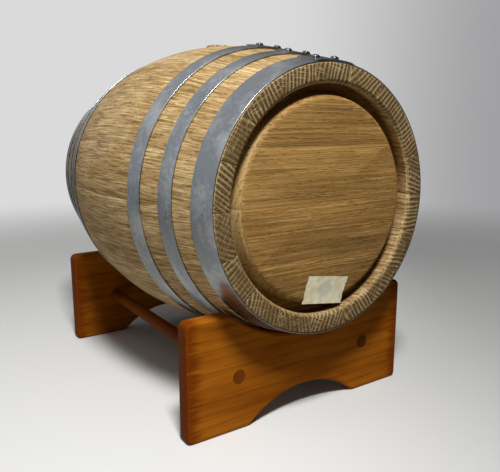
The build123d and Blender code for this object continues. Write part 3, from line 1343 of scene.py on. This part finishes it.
@dataclass
class Hoop:
    """A strip of steel wound once round the barrel, with its end lapped over its start and two rivets."""

    finishes: Finishes
    shell: Shell
    rivet: Piece
    end: End
    kind: HoopKind
    thickness: float = 0.8 * MM
    seat_gap: float = 0.1 * MM
    edge_round: float = 0.3 * MM
    round_steps: int = 4
    lap_length: float = 27 * MM
    lap_gap: float = 0.1 * MM
    ramp_length: float = 5 * MM
    ramp_steps: int = 10
    step: float = math.radians(3)
    rivet_spacing: float = 15 * MM
    shank_radius: float = 1.5 * MM
    punch_steps: int = 24
    rivet_sharp: float = math.radians(50)

    @property
    def node(self) -> str:
        """Name of the hoop's node."""
        return f"{self.end.word}_{self.kind.name.lower()}_hoop"

    @property
    def middle(self) -> float:
        """Distance of the strip's middle from mid length of the barrel."""
        setback, width, _ = self.kind.value
        return self.shell.half_length - setback - width / 2

    @property
    def inner_radius(self) -> float:
        """Radius of the strip's inside at its middle."""
        return self.shell.radius(self.middle) + self.seat_gap

    @property
    def lean(self) -> float:
        """Turn about X that lays a flat strip on the shell."""
        return -self.end.value * self.shell.slope(self.middle)

    def laid(self, height: float) -> Matrix:
        """Place flat on the shell at the top of the barrel, at a height over the strip's inside."""
        centre = (0, self.end.value * self.middle, self.inner_radius + height)
        return Matrix.Translation(centre) @ turned(self.lean, "X")

    def wind(self, angle: float) -> None:
        """Carry the strip's selected end round by an angle."""
        spin(angle, max(1, round(angle / self.step)))

    def strip(self) -> Piece:
        """Wind the strip from the end that shows, over the lap, down a ramp and once round.

        Returns:
            The strip, about the Y axis.
        """
        _, width, lap_turn = self.kind.value
        rise = self.thickness + self.lap_gap
        lap = self.lap_length / self.inner_radius
        ramp = self.ramp_length / self.inner_radius
        upright = (0, QUARTER_TURN, 0)
        strip = start("steel_" + self.node, bpy.ops.mesh.primitive_plane_add, size=1, rotation=upright)
        strip.scale = (self.thickness, width / math.cos(self.lean), 1)
        bpy.ops.object.transform_apply(location=True, rotation=True, scale=True)
        settle(strip, self.laid(self.thickness / 2 + rise))
        bpy.ops.object.mode_set(mode="EDIT")
        bpy.ops.mesh.select_all(action="SELECT")
        bpy.ops.mesh.bevel(offset=self.edge_round, segments=self.round_steps, affect="VERTICES")
        self.wind(lap)
        fallen = 0.0
        for number in range(1, self.ramp_steps + 1):
            share = number / self.ramp_steps
            spin(ramp / self.ramp_steps, 1)
            fall = rise * share**2 * (3 - 2 * share)
            turn = lap + ramp * share
            down = Vector((math.sin(turn), 0, math.cos(turn))) * (fallen - fall)
            bpy.ops.transform.translate(value=down)
            fallen = fall
        self.wind(math.tau - ramp)
        close_up()
        settle(strip, turned(lap_turn - lap / 2, "Y"))
        return strip

    def rivet_places(self) -> list[Matrix]:
        """Find the seats of the two rivets.

        Returns:
            Their places about the Y axis, each with Z square to the strip.
        """
        lap_turn = self.kind.value[2]
        spread = self.rivet_spacing / self.shell.radius(self.middle) / 2
        return [turned(lap_turn + turn, "Y") @ self.laid(0) for turn in (-spread, spread)]

    def make(self) -> None:
        """Wind the strip, punch it and drive its rivets, which are copied from one on the origin."""
        strip = self.strip()
        rivets = []
        for number, place in enumerate(self.rivet_places()):
            punch = start(
                "punch", bpy.ops.mesh.primitive_cylinder_add, vertices=self.punch_steps,
                radius=self.shank_radius, depth=4 * self.thickness,
            )
            settle(punch, place @ Matrix.Translation((0, 0, self.thickness)))
            cut(strip, punch)
            rivets.append(copy_of(self.rivet, f"rivet {number}"))
            settle(rivets[-1], self.shell.raised() @ place)
        settle(strip, self.shell.raised())
        smooth(strip)
        hand_over(strip, self.node, Body.BARREL, Slot.HOOP, self.finishes)
        pair = join(f"steel_{self.node}_rivets", rivets)
        smooth(pair, self.rivet_sharp)
        hand_over(pair, f"{self.node}_rivets", Body.BARREL, Slot.RIVET, self.finishes)


@dataclass
class Rivet:
    """A domed rivet with a short straight rim."""

    strip: float = 0.8 * MM
    seat_gap: float = 0.03 * MM
    shank_radius: float = 1.45 * MM
    head_radius: float = 2.6 * MM
    head_height: float = 1.7 * MM
    rim_height: float = 0.7 * MM
    rim_round: float = 0.15 * MM
    rim_sharp: float = math.radians(60)
    dome_steps: int = 8
    steps: int = 32

    def make(self) -> Piece:
        """Turn the rivet about Y and stand it up.

        Returns:
            The rivet, with its shank's foot on the origin and its head up.
        """
        seat = 2 * self.strip + self.seat_gap
        dome = self.head_height - self.rim_height
        angles = [QUARTER_TURN * step / self.dome_steps for step in range(self.dome_steps + 1)]
        arc = [(seat + self.rim_height + dome * math.sin(a), self.head_radius * math.cos(a)) for a in angles]
        foot = [(0, 0), (0, self.shank_radius), (seat, self.shank_radius), (seat, self.head_radius)]
        rivet = lathe("rivet", foot + arc, self.steps)
        ease_edges(rivet, self.rim_round, self.rim_sharp)
        settle(rivet, turned(QUARTER_TURN, "X"))
        return rivet


@dataclass
class Bung:
    """The turned bung, a little proud of the bilge."""

    finishes: Finishes
    shell: Shell
    hole_radius: float = 9 * MM
    taper: float = math.radians(4)
    standout: float = 2 * MM
    reach: float = 5 * MM
    play: float = 0.2 * MM
    crown: float = 0.35 * MM
    edge_round: float = 0.7 * MM
    edge_sharp: float = math.radians(40)
    steps: int = 72
    log_place: Size = (0.4, 0.2, 0.9)
    shade: float = 0.25

    def make(self) -> None:
        """Turn the bung about Y, stand it up and place it."""
        low, top = -self.shell.thickness - self.reach, self.standout
        low_radius, top_radius = (
            self.hole_radius + height * math.tan(self.taper) - self.play for height in (low, top)
        )
        edge = (top - self.crown, top_radius)
        points = [(low, 0), (low, low_radius), edge, (top, top_radius / 2), (top, 0)]
        bung = lathe("oak_bung", points, self.steps)
        ease_edges(bung, self.edge_round, self.edge_sharp)
        lay_grain(bung, Matrix.Translation(self.log_place), self.shade)
        seat = Matrix.Translation((0, 0, self.shell.axis_height + self.shell.bilge_radius))
        settle(bung, seat @ turned(QUARTER_TURN, "X"))
        smooth(bung)
        hand_over(bung, "bung", Body.BUNG, Slot.BUNG, self.finishes)


@dataclass
class TapePatch:
    """A strip of creped paper tape over the tap hole, a little loose at one corner and torn at its ends."""

    finishes: Finishes
    centre: Vector
    hole_radius: float
    length: float = 34 * MM
    width: float = 18 * MM
    thickness: float = 0.16 * MM
    tilt: float = math.radians(8.5)
    skew: float = math.radians(10)
    lift: float = 5.4 * MM
    lift_start: float = 0.62
    sag: float = 0.25 * MM
    crinkle: float = 0.1 * MM
    crinkle_length: float = 1.3 * MM
    crinkle_sway: float = 2.5
    sway_length: float = 3.1 * MM
    tear: float = 0.9 * MM
    tear_fall: int = 6
    tear_lengths: Span = (2.6 * MM, 0.9 * MM)
    tear_turns: Span = (5, 9)
    grid: tuple[int, int] = (68, 36)
    sharp: float = math.radians(60)

    def height(self, x: float, y: float) -> float:
        """Find the height of the paper over the wood: crinkles, one loose corner and a hollow over the hole.

        Args:
            x: Place along the strip from its middle.
            y: Place across the strip from its middle.

        Returns:
            The height.
        """
        corner = max(0.0, x / self.length + y / self.width - self.lift_start) ** 2
        sway = self.crinkle_sway * math.sin(y / self.sway_length)
        ripple = 0.5 + 0.5 * math.sin(x / self.crinkle_length + sway)
        hollow = max(0.0, 1 - (math.hypot(x, y) / self.hole_radius) ** 2)
        return self.lift * corner + self.crinkle * ripple * (1 - hollow) - self.sag * hollow

    def torn(self, x: float, y: float) -> float:
        """Find how far a point near a torn end is drawn in, most at the end itself.

        Args:
            x: Place along the strip from its middle.
            y: Place across the strip from its middle.

        Returns:
            The distance.
        """
        along = x / self.length
        coarse, fine = (
            math.sin(y / length + along * turn) for length, turn in zip(self.tear_lengths, self.tear_turns)
        )
        return self.tear * abs(2 * along) ** self.tear_fall * (0.5 + (coarse + 0.5 * fine) / 3)

    def make(self) -> None:
        """Crease the strip, give it its thickness and place it."""
        sizes = dict(zip(("x_subdivisions", "y_subdivisions"), self.grid), size=1)
        tape = start("crepe_tape", bpy.ops.mesh.primitive_grid_add, **sizes)
        tape.scale = (self.length, self.width, 1)
        bpy.ops.object.transform_apply(scale=True)
        for vertex in tape.data.vertices:
            x, y = vertex.co.x, vertex.co.y
            drawn = x - math.copysign(self.torn(x, y), x)
            vertex.co = (drawn + y * math.tan(self.skew), y, self.height(x, y))
        work(tape, "SOLIDIFY", thickness=self.thickness, offset=1)
        upright = turned(QUARTER_TURN, "X") @ turned(-self.tilt, "Z")
        settle(tape, Matrix.Translation(self.centre) @ upright)
        smooth(tape, self.sharp)
        hand_over(tape, "tape_patch", Body.TAPE, Slot.TAPE, self.finishes)


@dataclass
class PlainPieces:
    """The stand's boards and rails and the heads' dowels, whose CAD shapes are right as they are."""

    finishes: Finishes
    nodes: dict[str, Piece]

    def make(self) -> None:
        """Dress them."""
        dressed = [(f"{end.word}_cradle", Slot.CRADLE) for end in End]
        dressed += [(f"{side}_rail", Slot.RAIL) for side in ("left", "right")]
        dressed += [(f"{end.word}_head_dowels", Slot.DOWEL) for end in End]
        for node, slot in dressed:
            self.nodes[node].material_slots[0].material = self.finishes[slot]
            LOG.info("%s is dressed in %s", node, self.finishes[slot].name)


@dataclass
class Studio:
    """Camera, floor, backdrop and soft light."""

    eye: Size = (-0.2391, -0.3999, 0.1974)
    yaw: float = math.radians(33.97)
    pitch: float = math.radians(11.32)
    lens: float = 41.05
    nearest: float = 10 * MM
    floor_size: float = 3.0
    lamp_place: Size = (-0.25, -0.52, 0.89)
    lamp_aim: Size = (0, 0, 0.14)
    lamp_size: float = 0.165
    lamp_power: float = 10.7

    @property
    def to_right(self) -> Size:
        """Direction to the right of the camera, over the floor."""
        return math.cos(self.yaw), -math.sin(self.yaw), 0.0

    def camera(self) -> None:
        """Stand the camera where the photograph was taken from."""
        camera = bpy.data.objects.new("camera", bpy.data.cameras.new("camera"))
        camera.data.lens = self.lens
        camera.data.sensor_fit = "HORIZONTAL"
        camera.data.clip_start = self.nearest
        camera.location = self.eye
        camera.rotation_euler = (QUARTER_TURN - self.pitch, 0, -self.yaw)
        bpy.context.scene.collection.objects.link(camera)
        bpy.context.scene.camera = camera

    def surroundings(self) -> None:
        """Lay the floor and put up the backdrop."""
        floor = start("studio_floor", bpy.ops.mesh.primitive_plane_add, size=self.floor_size)
        floor.data.materials.append(MattFloor(name="matt floor", to_side=self.to_right).build())
        floor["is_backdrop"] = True
        room = Room(name="studio", to_side=self.to_right)
        bpy.context.scene.world = room.fill(bpy.data.worlds.new(room.name), "OutputWorld")

    def lamp(self) -> None:
        """Hang a square soft lamp over the front."""
        lamp = bpy.data.objects.new("key", bpy.data.lights.new("key", "AREA"))
        lamp.data.shape = "SQUARE"
        lamp.data.size = self.lamp_size
        lamp.data.energy = self.lamp_power
        lamp.location = self.lamp_place
        beam = Vector(self.lamp_aim) - Vector(self.lamp_place)
        lamp.rotation_euler = beam.to_track_quat("-Z", "Y").to_euler()
        bpy.context.scene.collection.objects.link(lamp)

    def make(self) -> None:
        """Set up the whole studio."""
        bpy.context.scene.view_settings.view_transform = "Standard"
        for step in (self.camera, self.surroundings, self.lamp):
            step()


def mix_finishes(tape_centre: Vector, tap_radius: float) -> Finishes:
    """Build all materials.

    Args:
        tape_centre: Middle of the tape.
        tap_radius: Radius of the hole behind it.

    Returns:
        The material of each slot.
    """
    # Bare wood, dull and straw brown, with dark ends
    stave = Oak(
        name="sanded oak staves", light="#BFA273", middle="#AC8B5A", dark="#6E502A", end="#483013",
        vessel="#36230C", pale="#DFC893", end_axis=(0, 1, 0),
    )
    bung = replace(stave, name="turned oak bung", end="#523818", end_axis=(0, 0, 1))
    # Warmer and calmer than the staves, with longer streaks, and pale cut ends on the bevel that are partly
    # end grain and partly painted light
    head = replace(
        stave, name="sanded oak head", light="#A98146", middle="#97713A", dark="#664820", end="#C6A76E",
        vessel="#38230A", pale="#C7A468", end_axis=(1, 0, 0), streaks=Patches(mm(0.8, 80, 0.8), 2.5),
        cracks=replace(stave.cracks, limits=(0.74, 0.78)), streak_share=(0.62, 0.1), shine_share=(0.5, 0.1),
        early_share=(0.0, 0.2), late_share=(0.15, 0.2), vessel_share=(0.28, 0.75),
    )
    # Orange brown boards, and rods in the same stain painted darker, partly as shade, for the rails lie in
    # the barrel's shadow
    board = StainedPine(
        name="stained pine board", light="#B26C1A", middle="#A05B12", dark="#4E2204", red="#6C2C06",
        turn=(0.25, 0, QUARTER_TURN), end_axis=(1, 0, 0), half_length=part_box("front_cradle")[1].x,
    )
    # Darker colours: partly painted shade for the rails in the barrel's shadow
    rod = StainedPine(
        name="stained dowel rod", light="#8A4A16", middle="#6C360B", dark="#2E1204", red="#5A2406",
        turn=(0, 0, 0), end_axis=(0, 1, 0), end_share=(0.1, 0.3),
    )
    # The paper's hole colour is painted shade of the tap hole behind it
    paper = CrepePaper(
        name="creped paper tape", light="#E6DFC2", dark="#CBC09E", hole="#A4AEA6", centre=tuple(tape_centre),
        hole_radius=tap_radius,
    )
    chosen = {
        Slot.STAVE: stave,
        Slot.HEAD: head,
        Slot.BUNG: bung,
        Slot.DOWEL: Beech(name="bare beech dowel", light="#D0AC7C", dark="#A67E4E"),
        Slot.HOOP: GalvanisedStrip(name="galvanised strip", light="#ADB1B4", dark="#81868B"),
        Slot.RIVET: RivetSteel(name="bright rivet steel", light="#8C8D8E", dark="#5A5B5C"),
        Slot.CRADLE: board,
        Slot.RAIL: rod,
        Slot.TAPE: paper,
    }
    return {slot: finish.build() for slot, finish in chosen.items()}


def main() -> None:
    """Load the frame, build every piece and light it."""
    logging.basicConfig(level=logging.INFO, format="%(message)s")
    for thing in list(bpy.data.objects):
        bpy.data.objects.remove(thing)
    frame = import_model()
    cad_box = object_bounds()
    axis_height = next(j["pos_m"][2] for j in frame["joints"] if j["name"] == "barrel_roll")
    tap = next(m for m in frame["record"]["mounts"] if m["name"] == "tap_hole")
    tap_height = tap["pos_m"][2]
    tap_drop = axis_height - tap_height
    tap_radius = tap["dims"]["r_mm"] * MM
    joints = [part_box(f"front_head_board_{index}")[0].z - axis_height for index in (1, 2, 3)]
    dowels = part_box("front_head_dowels")
    dowel_radius = (dowels[1].y - dowels[0].y) / 2

    shell = Shell(half_length=cad_box[1].y, axis_height=axis_height)
    seat = HeadSeat()
    tape_centre = Vector((0, -(shell.half_length - seat.recess), tap_height))
    finishes = mix_finishes(tape_centre, tap_radius)

    bung = Bung(finishes, shell)
    StaveRing(finishes, shell, seat, bung.hole_radius, bung.taper).make()
    Head(finishes, shell, seat, End.FRONT, joints, dowel_radius, tap_radius, tap_drop).make()
    Head(finishes, shell, seat, End.REAR, joints, dowel_radius).make()
    bung.make()
    TapePatch(finishes, tape_centre, tap_radius).make()
    rivet = Rivet().make()
    for end in End:
        for kind in HoopKind:
            Hoop(finishes, shell, rivet, end, kind).make()
    bpy.data.objects.remove(rivet)
    PlainPieces(finishes, frame["nodes"]).make()
    Studio().make()


if __name__ == "__main__":
    main()
